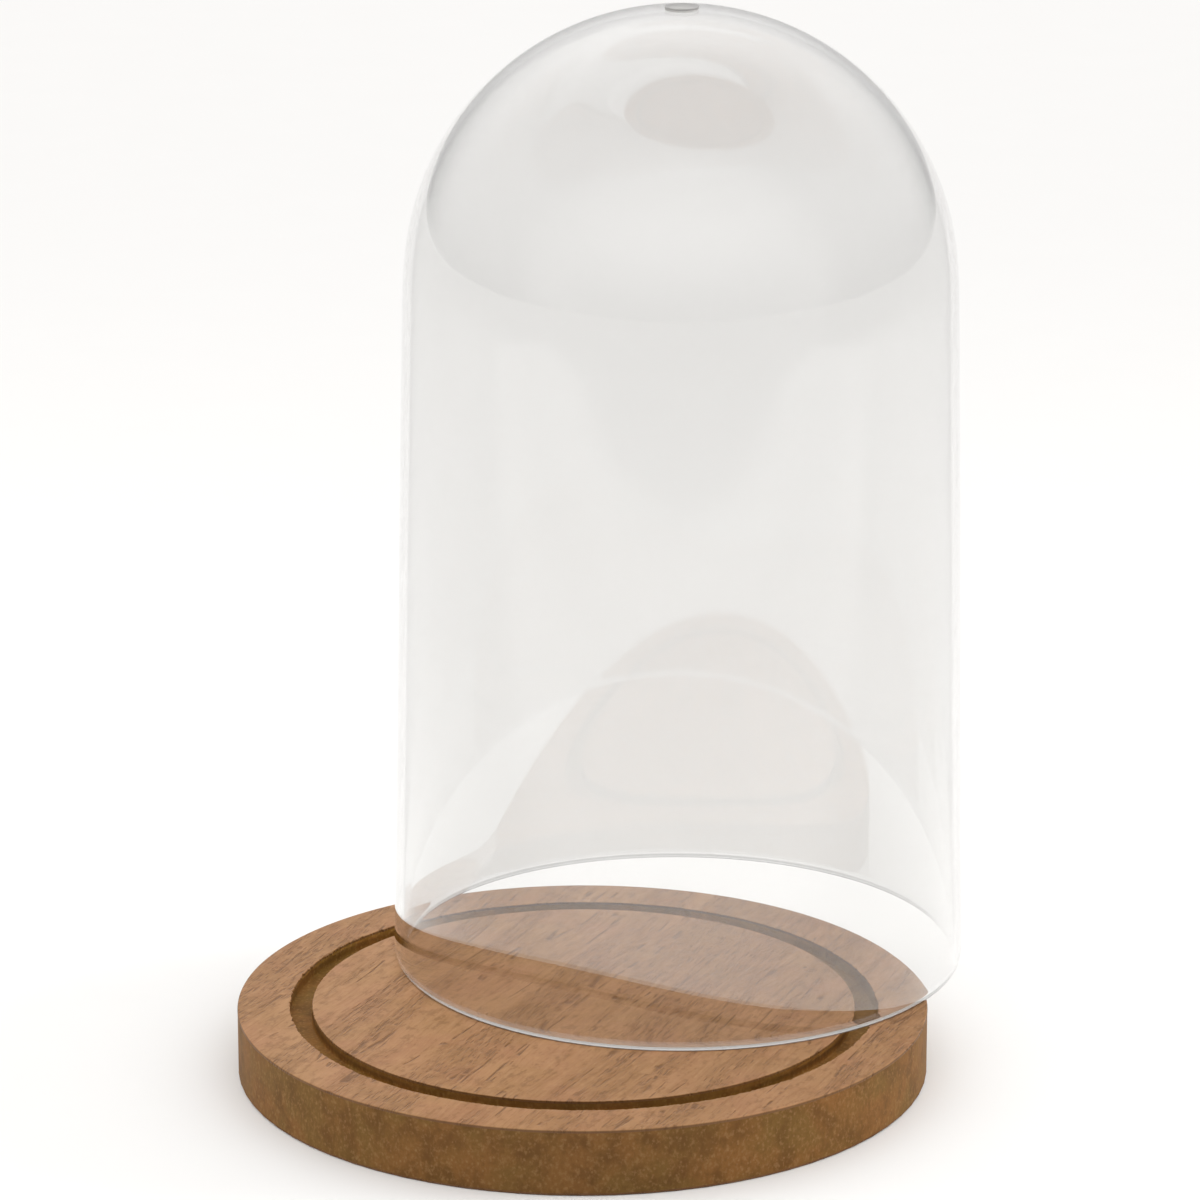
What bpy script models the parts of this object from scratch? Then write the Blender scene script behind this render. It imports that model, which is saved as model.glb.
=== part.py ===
"""Bell jar: a clear moulded dome and the veneered, grooved board it stands on.

Metres, +Z up. The origin is the centre of the board's underside. Every piece is a turned
shape: a profile in the XZ plane, swept around Z by a Screw modifier.

The dome stands on the board off-centre, lifted out of its groove, and moves straight up.
"""
import math

import bpy

# ---- Driving dimensions -------------------------------------------------------------
BASE_RADIUS = 0.0775            # board, 155 mm across
BOARD_THICKNESS = 0.0150        # whole board, both veneers included
VENEER_THICKNESS = 0.0006
GLUE_GAP = 0.0003               # clearance between a veneer and the core
ARRIS = 0.0003                  # the board's sanded top and bottom edges

GROOVE_OUTER_RADIUS = 0.06575
GROOVE_WIDTH = 0.0050           # one pass of a 5 mm cutter
GROOVE_DEPTH = 0.0030           # from the board's top face

DOME_RIM_RADIUS = 0.06525       # outside of the rim, 130.5 mm across
DOME_SHOULDER_RADIUS = 0.0620   # outside, where the straight side meets the crown
DOME_HEIGHT = 0.2200            # rim to crown
CROWN_HEIGHT = 0.0628           # shoulder to crown
DOME_WALL = 0.0020
RIM_EDGE_RADIUS = 0.0004        # both edges of the rim
GATE_RADIUS = 0.0038            # flat pad left by the mould's gate on the crown
GATE_STEP = 0.0003              # how far the pad stands proud

DOME_OFFSET_X = 0.0220          # dome axis from the board's centre
DOME_OFFSET_Y = 0.0330
STANDING_GAP = 0.0003           # clearance between the rim and the veneer

TURN_STEPS = 72                 # facets around every turned piece
CROWN_STEPS = 12
EDGE_STEPS = 3

# ---- Worked out from those ----------------------------------------------------------
GROOVE_INNER_RADIUS = GROOVE_OUTER_RADIUS - GROOVE_WIDTH
GROOVE_FLOOR = BOARD_THICKNESS - GROOVE_DEPTH
CORE_BOTTOM = VENEER_THICKNESS + GLUE_GAP
CORE_TOP = BOARD_THICKNESS - VENEER_THICKNESS - GLUE_GAP
FACE_VENEER_BOTTOM = BOARD_THICKNESS - VENEER_THICKNESS
SHOULDER_LEVEL = DOME_HEIGHT - CROWN_HEIGHT


# ---- Scene --------------------------------------------------------------------------
for old in list(bpy.data.objects):
    bpy.data.objects.remove(old)

parts = bpy.data.collections.new("bell_jar")
bpy.context.scene.collection.children.link(parts)


def make_material(name, colour, roughness, metallic=0.0, transmission=0.0, alpha=1.0):
    """A Principled material in one colour."""
    material = bpy.data.materials.new(name)
    material.use_nodes = True
    shader = material.node_tree.nodes["Principled BSDF"]
    shader.inputs["Base Color"].default_value = (*colour, 1.0)
    shader.inputs["Roughness"].default_value = roughness
    shader.inputs["Metallic"].default_value = metallic
    shader.inputs["Transmission Weight"].default_value = transmission
    shader.inputs["Alpha"].default_value = alpha
    return material


clear_plastic = make_material("clear_plastic", (0.90, 0.89, 0.87), 0.05, transmission=0.9, alpha=0.35)
fibre_board = make_material("fibre_board", (0.17, 0.08, 0.027), 0.75)
face_veneer = make_material("face_veneer", (0.40, 0.22, 0.12), 0.50)
back_veneer_stain = make_material("back_veneer_stain", (0.36, 0.20, 0.11), 0.60)


# ---- Profile helpers ----------------------------------------------------------------
def arc(centre, radii, start, end, steps):
    """Points (radius, height) on an elliptical arc, both ends included, angles in degrees."""
    points = []
    for i in range(steps + 1):
        angle = math.radians(start + (end - start) * i / steps)
        points.append((centre[0] + radii[0] * math.cos(angle), centre[1] + radii[1] * math.sin(angle)))
    return points


def turned(name, profile, material, closed_ring=False, location=(0.0, 0.0, 0.0)):
    """Sweep a profile of (radius, height) points once around Z.

    The profile runs down its outer side. It starts and ends on the axis, or with
    closed_ring it is a loop clear of the axis.
    """
    edges = [(i, i + 1) for i in range(len(profile) - 1)]
    if closed_ring:
        edges.append((len(profile) - 1, 0))
    mesh = bpy.data.meshes.new(name)
    mesh.from_pydata([(radius, 0.0, height) for radius, height in profile], edges, [])
    piece = bpy.data.objects.new(name, mesh)
    parts.objects.link(piece)
    piece.location = location
    piece.data.materials.append(material)

    screw = piece.modifiers.new("turn", "SCREW")
    screw.axis = "Z"
    screw.angle = math.tau
    screw.steps = TURN_STEPS
    screw.render_steps = TURN_STEPS
    screw.use_merge_vertices = True
    screw.merge_threshold = 0.00001
    screw.use_smooth_shade = True
    return piece


# ---- Board --------------------------------------------------------------------------
def make_back_veneer():
    """Balancing veneer on the underside; the face that the object rests on."""
    profile = [
        (0.0, VENEER_THICKNESS),
        (BASE_RADIUS, VENEER_THICKNESS),
        (BASE_RADIUS, ARRIS),
        (BASE_RADIUS - ARRIS, 0.0),
        (0.0, 0.0),
    ]
    return turned("back_veneer", profile, back_veneer_stain)


def make_base_core():
    """Fibre board with the groove that the dome's rim drops into."""
    profile = [
        (0.0, CORE_TOP),
        (GROOVE_INNER_RADIUS, CORE_TOP),
        (GROOVE_INNER_RADIUS, GROOVE_FLOOR),
        (GROOVE_OUTER_RADIUS, GROOVE_FLOOR),
        (GROOVE_OUTER_RADIUS, CORE_TOP),
        (BASE_RADIUS, CORE_TOP),
        (BASE_RADIUS, CORE_BOTTOM),
        (0.0, CORE_BOTTOM),
    ]
    return turned("base_core", profile, fibre_board)


def make_face_veneer_ring():
    """Face veneer left outside the groove."""
    profile = [
        (BASE_RADIUS - ARRIS, BOARD_THICKNESS),
        (BASE_RADIUS, BOARD_THICKNESS - ARRIS),
        (BASE_RADIUS, FACE_VENEER_BOTTOM),
        (GROOVE_OUTER_RADIUS, FACE_VENEER_BOTTOM),
        (GROOVE_OUTER_RADIUS, BOARD_THICKNESS),
    ]
    return turned("face_veneer_ring", profile, face_veneer, closed_ring=True)


def make_face_veneer_disc():
    """Face veneer left inside the groove."""
    profile = [
        (0.0, BOARD_THICKNESS),
        (GROOVE_INNER_RADIUS, BOARD_THICKNESS),
        (GROOVE_INNER_RADIUS, FACE_VENEER_BOTTOM),
        (0.0, FACE_VENEER_BOTTOM),
    ]
    return turned("face_veneer_disc", profile, face_veneer)


# ---- Dome ---------------------------------------------------------------------------
def crown_angle_at(radius, semi_radius):
    """Angle in degrees, from the shoulder, where the crown's arc has the given radius."""
    return math.degrees(math.acos(radius / semi_radius))


def make_dome():
    """One moulded shell, open below, standing on its rim off the board's centre.

    Its sides draft outward from the shoulder to the rim, so that it leaves its mould.
    The object's origin is on the dome's axis at the rim, which is the way it lifts.
    """
    outer_shoulder = DOME_SHOULDER_RADIUS
    inner_shoulder = DOME_SHOULDER_RADIUS - DOME_WALL
    outer_radii = (outer_shoulder, CROWN_HEIGHT - GATE_STEP)
    inner_radii = (inner_shoulder, CROWN_HEIGHT - GATE_STEP - DOME_WALL)
    crown_centre = (0.0, SHOULDER_LEVEL)
    gate_angle = crown_angle_at(GATE_RADIUS, outer_shoulder)
    rim_edge = (RIM_EDGE_RADIUS, RIM_EDGE_RADIUS)
    outer_rim = (DOME_RIM_RADIUS - RIM_EDGE_RADIUS, RIM_EDGE_RADIUS)
    inner_rim = (DOME_RIM_RADIUS - DOME_WALL + RIM_EDGE_RADIUS, RIM_EDGE_RADIUS)

    profile = [(0.0, DOME_HEIGHT), (GATE_RADIUS, DOME_HEIGHT)]
    profile += arc(crown_centre, outer_radii, gate_angle, 0.0, CROWN_STEPS)
    profile += arc(outer_rim, rim_edge, 0.0, -90.0, EDGE_STEPS)
    profile += arc(inner_rim, rim_edge, -90.0, -180.0, EDGE_STEPS)
    profile += arc(crown_centre, inner_radii, 0.0, 90.0, CROWN_STEPS)
    profile[-1] = (0.0, profile[-1][1])
    place = (DOME_OFFSET_X, DOME_OFFSET_Y, BOARD_THICKNESS + STANDING_GAP)
    return turned("dome", profile, clear_plastic, location=place)


make_back_veneer()
make_base_core()
make_face_veneer_ring()
make_face_veneer_disc()
make_dome()
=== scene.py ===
import math

import bpy
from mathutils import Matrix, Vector, noise


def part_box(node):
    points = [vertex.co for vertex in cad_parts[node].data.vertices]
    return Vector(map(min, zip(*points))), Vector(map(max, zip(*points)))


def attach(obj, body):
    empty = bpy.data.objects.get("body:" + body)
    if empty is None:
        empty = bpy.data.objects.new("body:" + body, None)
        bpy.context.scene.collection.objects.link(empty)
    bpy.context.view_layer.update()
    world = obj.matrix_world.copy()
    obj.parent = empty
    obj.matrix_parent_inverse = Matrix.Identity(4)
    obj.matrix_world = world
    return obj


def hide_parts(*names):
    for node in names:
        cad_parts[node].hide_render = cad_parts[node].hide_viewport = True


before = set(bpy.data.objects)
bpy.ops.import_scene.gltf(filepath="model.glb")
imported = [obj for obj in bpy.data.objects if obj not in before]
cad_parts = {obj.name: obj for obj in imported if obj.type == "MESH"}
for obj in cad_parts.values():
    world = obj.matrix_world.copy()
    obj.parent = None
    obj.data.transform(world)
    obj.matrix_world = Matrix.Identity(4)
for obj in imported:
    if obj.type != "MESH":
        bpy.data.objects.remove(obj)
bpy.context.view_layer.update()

MM = 0.001

# ---- Where things are, read from the frame --------------------------------------------
ring_low, ring_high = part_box("face_veneer_ring")
disc_low, disc_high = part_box("face_veneer_disc")
core_low, core_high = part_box("base_core")
back_low, back_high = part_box("back_veneer")
dome_low, dome_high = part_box("dome")

BASE_RADIUS = ring_high.x
BOARD_TOP = ring_high.z
GROOVE_INNER = disc_high.x
DOME_X = (dome_low.x + dome_high.x) / 2
DOME_Y = (dome_low.y + dome_high.y) / 2
RIM_RADIUS = (dome_high.x - dome_low.x) / 2
FOOT_GAP = 0.02 * MM
DOME_FOOT = BOARD_TOP + FOOT_GAP
DOME_HEIGHT = dome_high.z - DOME_FOOT


def radii_of(node):
    """Every distance from the board's centre at which the node has a vertex."""
    return [math.hypot(v.co.x, v.co.y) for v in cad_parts[node].data.vertices]


GROOVE_OUTER = min(radii_of("face_veneer_ring"))
GROOVE_FLOOR = min(
    v.co.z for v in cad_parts["base_core"].data.vertices
    if GROOVE_INNER - MM < math.hypot(v.co.x, v.co.y) < GROOVE_OUTER + MM
)

# ---- Finishing sizes that the frame leaves open ----------------------------------------
VENEER = ring_high.z - ring_low.z
GLUE_LINE = 0.03 * MM
ARRIS = 0.35 * MM
FILLET = 0.3 * MM
WALL = 2.0 * MM
CROWN_RADIUS = 61.7 * MM
CROWN_EASE = 20.0 * MM
RIM_EDGE = 0.97 * MM
RIM_NOSE = 2.7 * MM
RIM_INNER_NOSE = 2.5 * MM
UNDERSIDE = 0.12 * MM
GATE_RADIUS = 3.8 * MM
GATE_STEP = 0.3 * MM
GRAIN_ANGLE = math.radians(66)
BOARD_SEGMENTS = 1440
CORE_SEGMENTS = 720
DOME_SEGMENTS = 320
CROWN_STEPS = 64
EASE_STEPS = 24
SHARP_ANGLE = math.radians(40)

# ---- Light: the sky's strength by direction, and the lamps' watts -----------------------
SKY_ALL, SKY_UP, SKY_FRONT, SKY_BACK, SKY_SIDES = 0.47, 0.57, 0.38, 0.13, 0.22
P_OVERHEAD, P_LEFT, P_RIGHT, P_FRONT = 1.7, 2.2, 3.8, 0.6

# ---- Colours ----------------------------------------------------------------------------
VENEER_OLIVE = (0.332, 0.169, 0.065, 1)
VENEER_PINK = (0.352, 0.167, 0.074, 1)
VENEER_LIGHT = (0.426, 0.227, 0.100, 1)
VENEER_DARK = (0.220, 0.102, 0.034, 1)
VENEER_PORE = (0.175, 0.080, 0.030, 1)
BOARD_OLIVE = (0.132, 0.068, 0.015, 1)
BOARD_RED = (0.166, 0.073, 0.018, 1)
BOARD_DARK = (0.086, 0.038, 0.007, 1)
BOARD_LIGHT = (0.262, 0.146, 0.060, 1)
# Painted shade: the dark brown laid on the veneer's cut edges and on the groove's inner wall.
PAINTED_SHADE_BROWN = (0.070, 0.028, 0.005, 1)


# ---- Node helpers -----------------------------------------------------------------------
def set_fade(node, low, high, start=0.0, end=1.0):
    """Sets a Map Range node: start below low, end above high; low may be the larger."""
    node.interpolation_type = "SMOOTHSTEP"
    limits = (low, high, start, end) if low < high else (high, low, end, start)
    for name, limit in zip(("From Min", "From Max", "To Min", "To Max"), limits):
        node.inputs[name].default_value = limit


class Shade:
    """Short calls for building one node material."""

    def __init__(self, name):
        self.material = bpy.data.materials.new(name)
        self.material.use_nodes = True
        self.tree = self.material.node_tree
        self.shader = self.tree.nodes["Principled BSDF"]
        self.output = self.tree.nodes["Material Output"]

    def node(self, kind, **values):
        made = self.tree.nodes.new(kind)
        for name, value in values.items():
            setattr(made, name, value)
        return made

    def feed(self, socket, value):
        """Links a socket, or sets a plain value."""
        if hasattr(value, "is_output"):
            self.tree.links.new(value, socket)
        else:
            socket.default_value = value

    def place(self):
        return self.node("ShaderNodeTexCoord").outputs["Object"]

    def stretched(self, vector, scale, turn=0.0):
        """Turns the space about Z, then scales it along its own axes."""
        turned = self.node("ShaderNodeVectorRotate", rotation_type="Z_AXIS")
        self.feed(turned.inputs["Vector"], vector)
        self.feed(turned.inputs["Angle"], -turn)
        scaled = self.node("ShaderNodeVectorMath", operation="MULTIPLY")
        self.feed(scaled.inputs[0], turned.outputs[0])
        self.feed(scaled.inputs[1], scale)
        return scaled.outputs[0]

    def noise(self, vector, scale=1.0, detail=3.0, roughness=0.5, distortion=0.0):
        made = self.node("ShaderNodeTexNoise")
        self.feed(made.inputs["Vector"], vector)
        self.feed(made.inputs["Scale"], scale)
        self.feed(made.inputs["Detail"], detail)
        self.feed(made.inputs["Roughness"], roughness)
        self.feed(made.inputs["Distortion"], distortion)
        return made.outputs["Fac"]

    def cells(self, vector):
        """Voronoi: distance to the nearest point, and that point's random colour."""
        made = self.node("ShaderNodeTexVoronoi")
        self.feed(made.inputs["Vector"], vector)
        self.feed(made.inputs["Scale"], 1.0)
        self.feed(made.inputs["Randomness"], 1.0)
        return made.outputs["Distance"], made.outputs["Color"]

    def math(self, operation, a, b=0.0):
        made = self.node("ShaderNodeMath", operation=operation)
        self.feed(made.inputs[0], a)
        self.feed(made.inputs[1], b)
        return made.outputs[0]

    def step(self, value, low, high):
        """0 below low, 1 above high, smooth between; low may be the larger."""
        made = self.node("ShaderNodeMapRange")
        self.feed(made.inputs["Value"], value)
        set_fade(made, low, high)
        return made.outputs["Result"]

    def mix(self, factor, a, b, blend="MIX"):
        made = self.node("ShaderNodeMix", data_type="RGBA", blend_type=blend)
        self.feed(made.inputs[0], factor)
        self.feed(made.inputs[6], a)
        self.feed(made.inputs[7], b)
        return made.outputs[2]

    def split(self, vector):
        made = self.node("ShaderNodeSeparateXYZ")
        self.feed(made.inputs[0], vector)
        return made.outputs

    def bump(self, height, distance, strength):
        made = self.node("ShaderNodeBump")
        self.feed(made.inputs["Height"], height)
        made.inputs["Distance"].default_value = distance
        made.inputs["Strength"].default_value = strength
        return made.outputs[0]


# ---- Materials ------------------------------------------------------------------------------
def veneer_material(name, gloss=0.5):
    """Light brown open-pored veneer: broken dark dashes along the grain, in bands."""
    s = Shade(name)
    place = s.place()
    warp = s.noise(s.stretched(place, (14, 45, 45), GRAIN_ANGLE), detail=3.0)
    bend = s.math("MULTIPLY", s.math("SUBTRACT", warp, 0.5), 0.007)
    shift = s.node("ShaderNodeCombineXYZ")
    s.feed(shift.inputs["X"], bend)
    moved = s.node("ShaderNodeVectorMath", operation="ADD")
    s.feed(moved.inputs[0], place)
    s.feed(moved.inputs[1], shift.outputs[0])
    grain = moved.outputs[0]

    bands = s.noise(s.stretched(grain, (9, 150, 40), GRAIN_ANGLE), detail=1.0, roughness=0.4)
    early = s.step(bands, 0.46, 0.58)
    fibres = s.noise(s.stretched(grain, (70, 1000, 400), GRAIN_ANGLE), detail=4.0, roughness=0.6)
    tone = s.noise(s.stretched(place, (60, 95, 60), GRAIN_ANGLE), detail=3.0, roughness=0.6)
    hue = s.noise(s.stretched(place, (75, 60, 60), GRAIN_ANGLE), detail=2.0)
    mottle = s.noise(s.stretched(grain, (330, 620, 300), GRAIN_ANGLE), detail=3.0, roughness=0.6)

    pores = None
    for along, across, drop in ((150, 1500, 0.46), (260, 2400, 0.36)):
        wander = s.noise(s.stretched(grain, (400, 400, 1), GRAIN_ANGLE), detail=1.0)
        spot = s.node("ShaderNodeVectorMath", operation="ADD")
        s.feed(spot.inputs[0], s.stretched(grain, (along, across, 1), GRAIN_ANGLE))
        s.feed(spot.inputs[1], wander)
        distance, colour = s.cells(spot.outputs[0])
        dash = s.step(distance, 0.50, 0.20)
        chosen = s.step(s.split(colour)[0], drop, drop + 0.25)
        dash = s.math("MULTIPLY", dash, chosen)
        pores = dash if pores is None else s.math("MAXIMUM", pores, dash)
    density = s.math("ADD", s.math("MULTIPLY", early, 0.86), 0.08)
    pores = s.math("MULTIPLY", pores, density)

    ridge = s.noise(s.stretched(grain, (9, 130, 40), GRAIN_ANGLE), detail=1.5, roughness=0.5)
    ridge = s.math("ABSOLUTE", s.math("SUBTRACT", ridge, 0.5))
    broken = s.noise(s.stretched(place, (170, 90, 60), GRAIN_ANGLE), detail=2.0)
    cracks = s.math("MULTIPLY", s.step(ridge, 0.020, 0.004), s.step(broken, 0.46, 0.54))
    cracks = s.math("MULTIPLY", cracks, s.step(fibres, 0.43, 0.53))

    base = s.mix(s.step(hue, 0.35, 0.65), VENEER_OLIVE, VENEER_PINK)
    base = s.mix(s.math("MULTIPLY", s.step(tone, 0.30, 0.70), 0.55), base, VENEER_LIGHT)
    base = s.mix(s.math("MULTIPLY", early, 0.30), base, VENEER_DARK)
    base = s.mix(s.math("MULTIPLY", s.step(mottle, 0.52, 0.66), 0.55), base, VENEER_DARK)
    base = s.mix(s.math("MULTIPLY", s.step(mottle, 0.46, 0.32), 0.50), base, VENEER_LIGHT)
    base = s.mix(s.math("MULTIPLY", s.step(fibres, 0.52, 0.70), 0.45), base, VENEER_DARK)
    base = s.mix(s.math("MULTIPLY", s.step(fibres, 0.46, 0.30), 0.42), base, VENEER_LIGHT)
    base = s.mix(s.math("MULTIPLY", pores, 0.72), base, VENEER_PORE)
    base = s.mix(s.math("MULTIPLY", cracks, 0.88), base, VENEER_PORE)
    # Painted shade: the veneer is darkened towards +X, standing in for light falling from the
    # left.
    across = s.step(s.split(place)[0], -BASE_RADIUS, BASE_RADIUS)
    base = s.mix(across, base, (0.92, 0.92, 0.93, 1), blend="MULTIPLY")
    # Painted shade: the veneer is darkened from 0.02 to 0.22 mm below its top face and all the
    # way below that (its cut edges, the arris's lower part, the back veneer). This stands in for
    # the undercut shadow at the groove's lip and the shade along the arris.
    edge = s.step(s.split(place)[2], BOARD_TOP - 0.02 * MM, BOARD_TOP - 0.22 * MM)
    base = s.mix(s.math("MULTIPLY", edge, 0.80), base, PAINTED_SHADE_BROWN)
    s.feed(s.shader.inputs["Base Color"], base)
    roughness = s.math("ADD", s.math("MULTIPLY", fibres, 0.16), gloss - 0.06)
    s.feed(s.shader.inputs["Roughness"], roughness)
    hollows = s.math("MAXIMUM", pores, cracks)
    height = s.math("SUBTRACT", s.math("MULTIPLY", fibres, 0.25), hollows)
    s.feed(s.shader.inputs["Normal"], s.bump(height, 0.16 * MM, 0.9))
    s.shader.inputs["Specular IOR Level"].default_value = 0.28
    return s.material


def fibre_board_material():
    """Stained fibre board, cut and sanded: soft blotches, short upright streaks, pale flecks."""
    s = Shade("fibre_board_stained")
    place = s.place()
    blotches = s.noise(s.stretched(place, (170, 170, 150)), detail=4.0, roughness=0.55)
    olive = s.noise(s.stretched(place, (85, 85, 70)), detail=3.0, distortion=0.3)
    streaks = s.noise(s.stretched(place, (1050, 1050, 820)), detail=3.0, roughness=0.65)
    distance, colour = s.cells(s.stretched(place, (900, 900, 820)))
    fleck_size = s.step(distance, 0.38, 0.10)
    flecks = s.math("MULTIPLY", fleck_size, s.step(s.split(colour)[0], 0.62, 0.80))

    base = s.mix(s.step(olive, 0.36, 0.64), BOARD_OLIVE, BOARD_RED)
    base = s.mix(s.math("MULTIPLY", s.step(blotches, 0.42, 0.68), 0.7), base, BOARD_DARK)
    base = s.mix(s.math("MULTIPLY", s.step(streaks, 0.48, 0.72), 0.42), base, BOARD_LIGHT)
    base = s.mix(s.math("MULTIPLY", s.step(streaks, 0.48, 0.30), 0.35), base, BOARD_DARK)
    base = s.mix(s.math("MULTIPLY", flecks, 0.38), base, BOARD_LIGHT)

    # The cutter left the groove's floor pale. Painted shade: the groove's inner wall is darkened
    # towards its top, under the veneer's lip.
    flat = s.node("ShaderNodeVectorMath", operation="MULTIPLY")
    s.feed(flat.inputs[0], place)
    s.feed(flat.inputs[1], (1, 1, 0))
    length = s.node("ShaderNodeVectorMath", operation="LENGTH")
    s.feed(length.inputs[0], flat.outputs[0])
    inside = s.step(length.outputs["Value"], GROOVE_OUTER + 1.5 * MM, GROOVE_OUTER + 0.5 * MM)
    wall = s.step(s.split(place)[2], GROOVE_FLOOR + 0.2 * MM, GROOVE_FLOOR + 1.6 * MM)
    cut = s.step(length.outputs["Value"], GROOVE_INNER + 1.0 * MM, GROOVE_INNER + 0.3 * MM)
    # Painted shade: the mask for the darkened upper part of the inner wall.
    wall_shade = s.math("MULTIPLY", s.math("MULTIPLY", inside, cut), s.math("MULTIPLY", wall, 0.5))
    pale = s.math("MULTIPLY", inside, s.math("SUBTRACT", 1.0, s.math("MULTIPLY", wall, 0.35)))
    base = s.mix(pale, base, (1.62, 1.58, 1.20, 1), blend="MULTIPLY")
    base = s.mix(wall_shade, base, PAINTED_SHADE_BROWN)
    s.feed(s.shader.inputs["Base Color"], base)
    s.feed(s.shader.inputs["Roughness"], s.math("ADD", s.math("MULTIPLY", streaks, 0.2), 0.58))
    height = s.math("ADD", s.math("MULTIPLY", blotches, 0.5), streaks)
    s.feed(s.shader.inputs["Normal"], s.bump(height, 0.10 * MM, 0.5))
    s.shader.inputs["Specular IOR Level"].default_value = 0.18
    return s.material


def clear_plastic_material():
    """Clear moulded plastic, slightly grey; lamps shine through it onto what it covers."""
    s = Shade("clear_plastic_moulded")
    s.shader.inputs["Base Color"].default_value = (0.860, 0.859, 0.855, 1)
    s.shader.inputs["Roughness"].default_value = 0.0
    s.shader.inputs["Transmission Weight"].default_value = 1.0
    s.shader.inputs["IOR"].default_value = 1.60
    s.shader.inputs["Coat Weight"].default_value = 1.0
    s.shader.inputs["Coat Roughness"].default_value = 0.0
    path = s.node("ShaderNodeLightPath")
    open_side = s.node("ShaderNodeBsdfTransparent")
    open_side.inputs["Color"].default_value = (0.985, 0.985, 0.98, 1)
    seen = s.shader.outputs[0]
    for kind in ("Is Diffuse Ray", "Is Shadow Ray"):
        chosen = s.node("ShaderNodeMixShader")
        s.feed(chosen.inputs[0], path.outputs[kind])
        s.feed(chosen.inputs[1], seen)
        s.feed(chosen.inputs[2], open_side.outputs[0])
        seen = chosen.outputs[0]
    s.feed(s.output.inputs["Surface"], seen)
    return s.material


def matt_plastic_material(name, colour, transmission, roughness):
    """The same plastic where the mould left it matt: the gate's pad and the rim's underside."""
    s = Shade(name)
    s.shader.inputs["Base Color"].default_value = colour
    s.shader.inputs["Roughness"].default_value = roughness
    s.shader.inputs["Transmission Weight"].default_value = transmission
    s.shader.inputs["IOR"].default_value = 1.57
    return s.material


def floor_material():
    s = Shade("pale_floor")
    grain = s.noise(s.place(), scale=40.0, detail=2.0)
    colour = s.mix(grain, (0.875, 0.872, 0.865, 1), (0.885, 0.882, 0.876, 1))
    s.feed(s.shader.inputs["Base Color"], colour)
    s.shader.inputs["Roughness"].default_value = 0.9
    s.shader.inputs["Specular IOR Level"].default_value = 0.1
    return s.material


# ---- Geometry -------------------------------------------------------------------------------
def arc(centre, radii, start, end, steps):
    """Points (radius, height) on an elliptical arc, both ends included, angles in degrees."""
    points = []
    for i in range(steps + 1):
        angle = math.radians(start + (end - start) * i / steps)
        across, up = radii[0] * math.cos(angle), radii[1] * math.sin(angle)
        points.append((centre[0] + across, centre[1] + up))
    return points


def line(start, end, steps):
    """Points on a straight run, without its first one."""
    return [
        (start[0] + (end[0] - start[0]) * i / steps, start[1] + (end[1] - start[1]) * i / steps)
        for i in range(1, steps + 1)
    ]


def turned(name, profile, segments, material, place=(0.0, 0.0, 0.0), ring=False, shape=None):
    """A mesh turned about Z. The profile runs down the outer side; shape may move each point."""
    vertices, faces, rows = [], [], []
    for radius, height in profile:
        if radius == 0.0:
            rows.append([len(vertices)])
            vertices.append((place[0], place[1], place[2] + height))
            continue
        row = []
        for j in range(segments):
            angle = math.tau * j / segments
            r, z = shape(radius, height, angle) if shape else (radius, height)
            x, y = r * math.cos(angle), r * math.sin(angle)
            row.append(len(vertices))
            vertices.append((place[0] + x, place[1] + y, place[2] + z))
        rows.append(row)
    pairs = list(zip(rows, rows[1:]))
    if ring:
        pairs.append((rows[-1], rows[0]))
    for upper, lower in pairs:
        for j in range(segments):
            k = (j + 1) % segments
            if len(upper) == 1:
                faces.append((upper[0], lower[j], lower[k]))
            elif len(lower) == 1:
                faces.append((upper[j], lower[0], upper[k]))
            else:
                faces.append((upper[j], lower[j], lower[k], upper[k]))
    mesh = bpy.data.meshes.new(name)
    mesh.from_pydata(vertices, [], faces)
    mesh.materials.append(material)
    mesh.shade_smooth()
    piece = bpy.data.objects.new(name, mesh)
    bpy.context.scene.collection.objects.link(piece)
    mesh.set_sharp_from_angle(angle=SHARP_ANGLE)
    return piece


def ragged(depth, seed, pitch):
    """A radial shift round a cut edge, where the cutter tore the veneer's fibres."""
    def shift(angle):
        across = abs(math.sin(angle - GRAIN_ANGLE))
        reach = pitch * 0.065
        spot = Vector((math.cos(angle) * reach, math.sin(angle) * reach, seed))
        fine = noise.noise(spot)
        coarse = noise.noise(spot * 0.23)
        return depth * (0.35 + 0.65 * across) * (0.7 * fine + 0.5 * coarse)
    return shift


# ---- Board ----------------------------------------------------------------------------------
veneer = veneer_material("face_veneer_open_pored")
board = fibre_board_material()

under_veneer = BOARD_TOP - VENEER

outer_tear = ragged(0.55 * MM, 3.0, 1700.0)
inner_tear = ragged(0.38 * MM, 11.0, 1700.0)


def ring_shape(radius, height, angle):
    if radius < GROOVE_OUTER + 0.3 * MM:
        radius += outer_tear(angle)
    return radius, height


def disc_shape(radius, height, angle):
    if radius > GROOVE_INNER - 0.3 * MM:
        radius -= abs(inner_tear(angle))
    return radius, height


ring_profile = (
    line((GROOVE_OUTER + 0.12 * MM, BOARD_TOP), (BASE_RADIUS - ARRIS, BOARD_TOP), 6)
    + arc((BASE_RADIUS - ARRIS, BOARD_TOP - ARRIS), (ARRIS, ARRIS), 80, 0, 4)
    + [(BASE_RADIUS, under_veneer)]
    + line((BASE_RADIUS, under_veneer), (GROOVE_OUTER, under_veneer), 3)
    + [(GROOVE_OUTER, BOARD_TOP - 0.12 * MM), (GROOVE_OUTER + 0.12 * MM, BOARD_TOP)]
)
veneer_ring = turned("veneer_ring", ring_profile, BOARD_SEGMENTS, veneer, ring=True,
                     shape=ring_shape)

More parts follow.
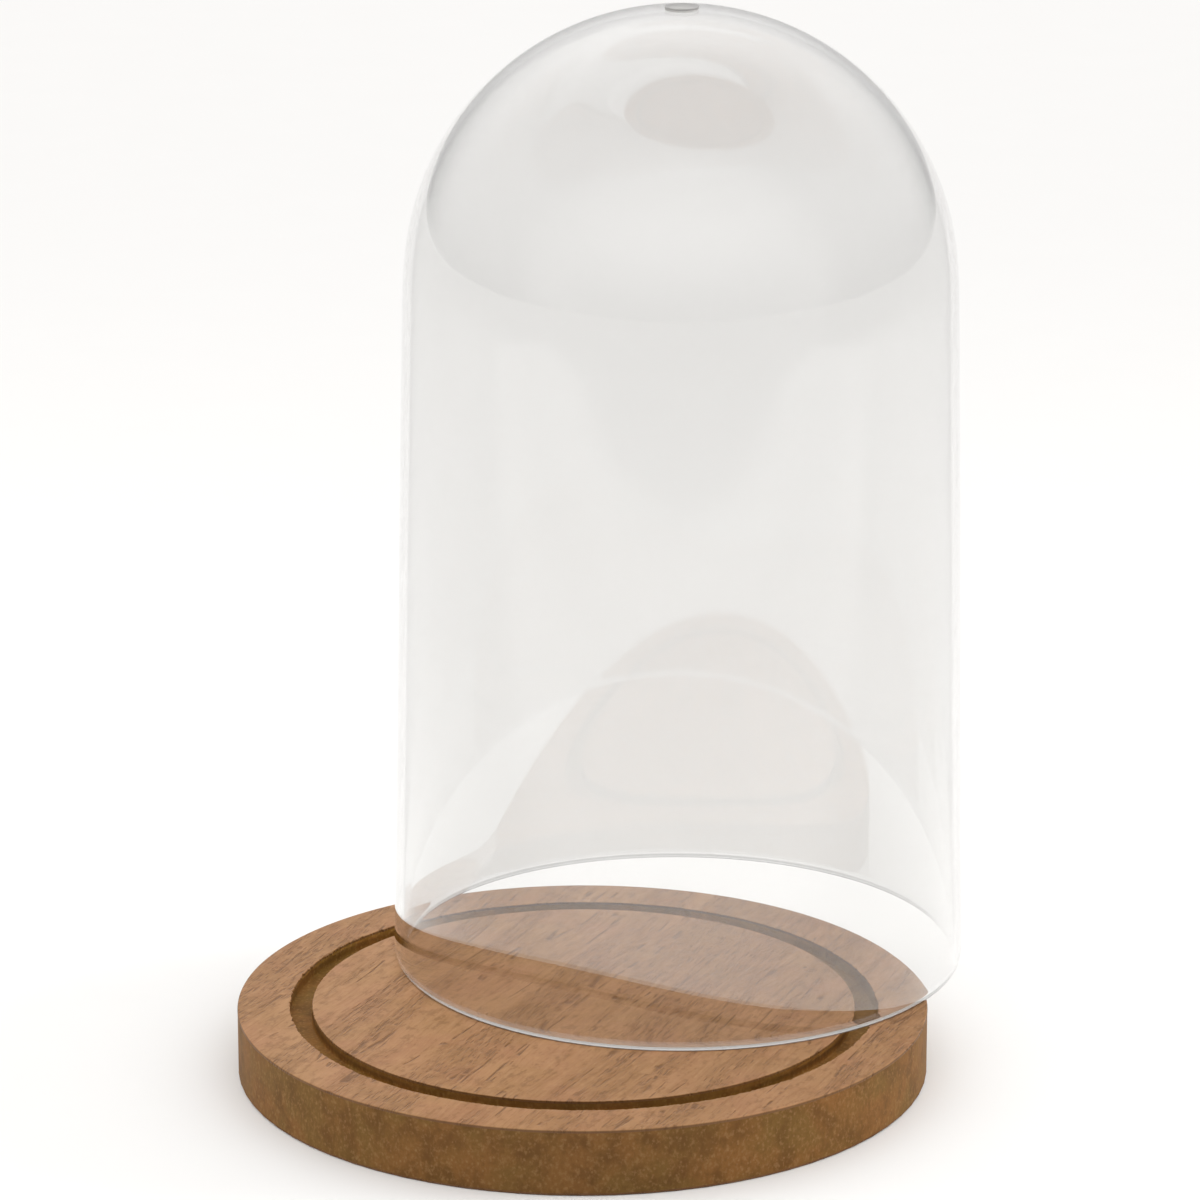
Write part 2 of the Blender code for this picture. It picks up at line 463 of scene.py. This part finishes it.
disc_profile = (
    [(0.0, BOARD_TOP)]
    + line((0.0, BOARD_TOP), (GROOVE_INNER - 0.1 * MM, BOARD_TOP), 8)
    + [(GROOVE_INNER, BOARD_TOP - 0.1 * MM), (GROOVE_INNER, under_veneer), (0.0, under_veneer)]
)
veneer_disc = turned("veneer_disc", disc_profile, BOARD_SEGMENTS, veneer, shape=disc_shape)

core_top = under_veneer - GLUE_LINE
core_bottom = back_high.z + GLUE_LINE
fillet_top = GROOVE_FLOOR + FILLET
core_profile = (
    [(0.0, core_top), (GROOVE_INNER - 0.05 * MM, core_top)]
    + line((GROOVE_INNER - 0.05 * MM, core_top), (GROOVE_INNER - 0.02 * MM, fillet_top), 6)
    + arc((GROOVE_INNER + FILLET, fillet_top), (FILLET, FILLET), 200, 270, 4)
    + line((GROOVE_INNER + FILLET, GROOVE_FLOOR), (GROOVE_OUTER - FILLET, GROOVE_FLOOR), 6)
    + arc((GROOVE_OUTER - FILLET, fillet_top), (FILLET, FILLET), -80, -20, 4)
    + line((GROOVE_OUTER + 0.02 * MM, fillet_top), (GROOVE_OUTER + 0.05 * MM, core_top), 6)
    + [(BASE_RADIUS - 0.03 * MM, core_top)]
    + line((BASE_RADIUS - 0.03 * MM, core_top), (BASE_RADIUS - 0.03 * MM, core_bottom), 8)
    + [(0.0, core_bottom)]
)
core = turned("board_core", core_profile, CORE_SEGMENTS, board)

for piece, node, slot in (
    (veneer_ring, "face_veneer_ring", "face_veneer"),
    (veneer_disc, "face_veneer_disc", "face_veneer"),
    (core, "base_core", "fibre_board"),
):
    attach(piece, "base")
    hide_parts(node)

back_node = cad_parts["back_veneer"]
back_node.material_slots[0].material = veneer_material("back_veneer_plain", gloss=0.6)

# ---- Dome -----------------------------------------------------------------------------------
def bell(foot_radius, foot_height, crown_radius, crown_top, ease, start):
    """A drafted wall that eases into a round crown, from angle `start` on the crown down.

    The curvature fades over the length `ease`, so that no line shows where they meet.
    """
    def walk(draft):
        end = math.pi / 2 - draft - ease / (2 * crown_radius)
        points = []
        for i in range(CROWN_STEPS + 1):
            angle = start + (end - start) * i / CROWN_STEPS
            drop = crown_radius * (1 - math.cos(angle))
            points.append((crown_radius * math.sin(angle), crown_top - drop))
        radius, height = points[-1]
        step = ease / EASE_STEPS
        for i in range(EASE_STEPS):
            s = (i + 0.5) * step
            angle = end + s / crown_radius - s * s / (2 * crown_radius * ease)
            radius += math.cos(angle) * step
            height -= math.sin(angle) * step
            points.append((radius, height))
        return points, radius + (height - foot_height) * math.tan(draft)

    low, high = 0.0, 0.1
    for _ in range(40):
        draft = (low + high) / 2
        if walk(draft)[1] < foot_radius:
            low = draft
        else:
            high = draft
    points = walk(low)[0]
    return points + line(points[-1], (foot_radius, foot_height), 24)


gate_angle = math.asin(GATE_RADIUS / CROWN_RADIUS)
crown_top = DOME_HEIGHT - GATE_STEP
inner_radius = RIM_RADIUS - WALL
outside = bell(RIM_RADIUS, RIM_NOSE, CROWN_RADIUS, crown_top, CROWN_EASE, gate_angle)
inside = bell(
    inner_radius, RIM_INNER_NOSE, CROWN_RADIUS - WALL, crown_top - WALL, CROWN_EASE, 0.0
)
gate = [
    (0.0, DOME_HEIGHT),
    (GATE_RADIUS - 0.1 * MM, DOME_HEIGHT),
    (GATE_RADIUS, DOME_HEIGHT - 0.1 * MM),
]
outer_rim = arc((RIM_RADIUS - RIM_EDGE, RIM_NOSE), (RIM_EDGE, RIM_NOSE), 0.0, -90.0, 16)
inner_rim = arc(
    (inner_radius + RIM_EDGE, RIM_INNER_NOSE), (RIM_EDGE, RIM_INNER_NOSE), -90.0, -180.0, 16
)
dome_profile = gate + outside + outer_rim[1:] + inner_rim[:-1] + inside[::-1]
clear = clear_plastic_material()
gate_matt = matt_plastic_material("gate_matt", (0.62, 0.61, 0.60, 1), 0.60, 0.35)
underside_matt = matt_plastic_material("underside_matt", (0.90, 0.89, 0.89, 1), 0.55, 0.40)
dome_place = (DOME_X, DOME_Y, DOME_FOOT)
dome = turned("dome_clear", dome_profile, DOME_SEGMENTS, clear, place=dome_place)
dome.data.materials.append(gate_matt)
dome.data.materials.append(underside_matt)
for face in dome.data.polygons:
    radius = math.hypot(face.center.x - DOME_X, face.center.y - DOME_Y)
    height = face.center.z - DOME_FOOT
    if height > DOME_HEIGHT - GATE_STEP and radius < GATE_RADIUS:
        face.material_index = 1
    elif height < UNDERSIDE:
        face.material_index = 2
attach(dome, "dome")
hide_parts("dome")

# ---- Stage ----------------------------------------------------------------------------------
floor_mesh = bpy.data.meshes.new("floor")
HALF = 6.0
corners = [(-HALF, -HALF, 0), (HALF, -HALF, 0), (HALF, HALF, 0), (-HALF, HALF, 0)]
floor_mesh.from_pydata(corners, [], [(0, 1, 2, 3)])
floor = bpy.data.objects.new("floor", floor_mesh)
floor_mesh.materials.append(floor_material())
floor.location.z = -0.00005
bpy.context.scene.collection.objects.link(floor)

world = bpy.data.worlds.new("soft_studio")
bpy.context.scene.world = world
world.use_nodes = True
sky = world.node_tree.nodes["Background"]
sky.inputs["Color"].default_value = (1.0, 0.99, 0.98, 1)
links = world.node_tree.links


def sky_math(operation, first, second=None, third=None):
    """A Math node in the world's tree, each input a socket, a number or left alone."""
    made = world.node_tree.nodes.new("ShaderNodeMath")
    made.operation = operation
    for socket, value in zip(made.inputs, (first, second, third)):
        if value is None:
            continue
        if hasattr(value, "is_output"):
            links.new(value, socket)
        else:
            socket.default_value = value
    return made.outputs[0]


heading = world.node_tree.nodes.new("ShaderNodeTexCoord")
parts = world.node_tree.nodes.new("ShaderNodeSeparateXYZ")
links.new(heading.outputs["Generated"], parts.inputs[0])


def sky_fade(value, low, high):
    """0 below low, 1 above high, smooth between; low may be the larger."""
    made = world.node_tree.nodes.new("ShaderNodeMapRange")
    set_fade(made, low, high)
    links.new(value, made.inputs["Value"])
    return made.outputs["Result"]


across, along, upward = parts.outputs
low_aside = sky_math(
    "MULTIPLY",
    sky_fade(sky_math("ABSOLUTE", across), 0.55, 0.92),
    sky_fade(upward, 0.55, 0.10),
)
strength = SKY_ALL
for share, amount in (
    (sky_fade(along, -0.2, -0.95), SKY_FRONT),
    (sky_fade(along, 0.2, 0.95), SKY_BACK),
    (sky_fade(upward, -0.1, 0.6), SKY_UP),
    (low_aside, SKY_SIDES),
):
    strength = sky_math("MULTIPLY_ADD", share, amount, strength)
links.new(strength, sky.inputs["Strength"])


def softbox(name, place, target, size, power, reflected, spread=180, fade=1.0):
    """An area lamp whose emission fades towards its edges."""
    lamp = bpy.data.lights.new(name, "AREA")
    lamp.shape = "RECTANGLE"
    lamp.size, lamp.size_y = size
    lamp.energy = power
    lamp.spread = math.radians(spread)
    lamp.color = (1.0, 0.99, 0.98)
    lamp.use_nodes = True
    tree = lamp.node_tree
    emission = tree.nodes["Emission"]
    spot = tree.nodes.new("ShaderNodeNewGeometry")
    offset = tree.nodes.new("ShaderNodeVectorMath")
    offset.operation = "SUBTRACT"
    tree.links.new(spot.outputs["Parametric"], offset.inputs[0])
    offset.inputs[1].default_value = (0.5, 0.5, 0.0)
    reach = tree.nodes.new("ShaderNodeVectorMath")
    reach.operation = "LENGTH"
    flat = tree.nodes.new("ShaderNodeVectorMath")
    flat.operation = "MULTIPLY"
    tree.links.new(offset.outputs[0], flat.inputs[0])
    flat.inputs[1].default_value = (1.0, 1.0, 0.0)
    tree.links.new(flat.outputs[0], reach.inputs[0])
    soft = tree.nodes.new("ShaderNodeMapRange")
    set_fade(soft, 0.10, 0.50, 1.0, 1.0 - fade)
    tree.links.new(reach.outputs["Value"], soft.inputs["Value"])
    tree.links.new(soft.outputs["Result"], emission.inputs["Strength"])
    holder = bpy.data.objects.new(name, lamp)
    holder.location = place
    holder.rotation_euler = (Vector(target) - Vector(place)).to_track_quat("-Z", "Y").to_euler()
    holder.visible_glossy = reflected
    holder.visible_transmission = reflected
    holder.visible_camera = False
    bpy.context.scene.collection.objects.link(holder)
    return holder


softbox("overhead", (-0.1, 1.15, 1.5), (0, 1.1, 0), (2.2, 2.4), P_OVERHEAD, True)
softbox("left", (-1.7, 0.1, 0.32), (0, 0.0, 0.06), (1.2, 0.3), P_LEFT, False, spread=40)
softbox("right", (1.7, 0.1, 0.32), (0, 0.0, 0.06), (1.2, 0.3), P_RIGHT, False, spread=40)
softbox(
    "front_table", (0.0, -0.35, 0.3), (0, -0.35, 0), (1.8, 0.46), P_FRONT, False,
    spread=20, fade=0.0,
)

# ---- Camera ---------------------------------------------------------------------------------
CAMERA_DISTANCE = 1.3175
CAMERA_ELEVATION = math.radians(20.88)
CAMERA_PITCH = math.radians(16.96)
CAMERA_YAW = math.radians(0.183)
camera_data = bpy.data.cameras.new("camera")
camera_data.sensor_width = 36.0
camera_data.lens = 175.3
camera = bpy.data.objects.new("camera", camera_data)
camera.location = (
    0.0,
    -CAMERA_DISTANCE * math.cos(CAMERA_ELEVATION),
    BOARD_TOP + CAMERA_DISTANCE * math.sin(CAMERA_ELEVATION),
)
camera.rotation_euler = (math.pi / 2 - CAMERA_PITCH, 0.0, -CAMERA_YAW)
bpy.context.scene.collection.objects.link(camera)
bpy.context.scene.camera = camera
bpy.context.scene.view_settings.view_transform = "Standard"
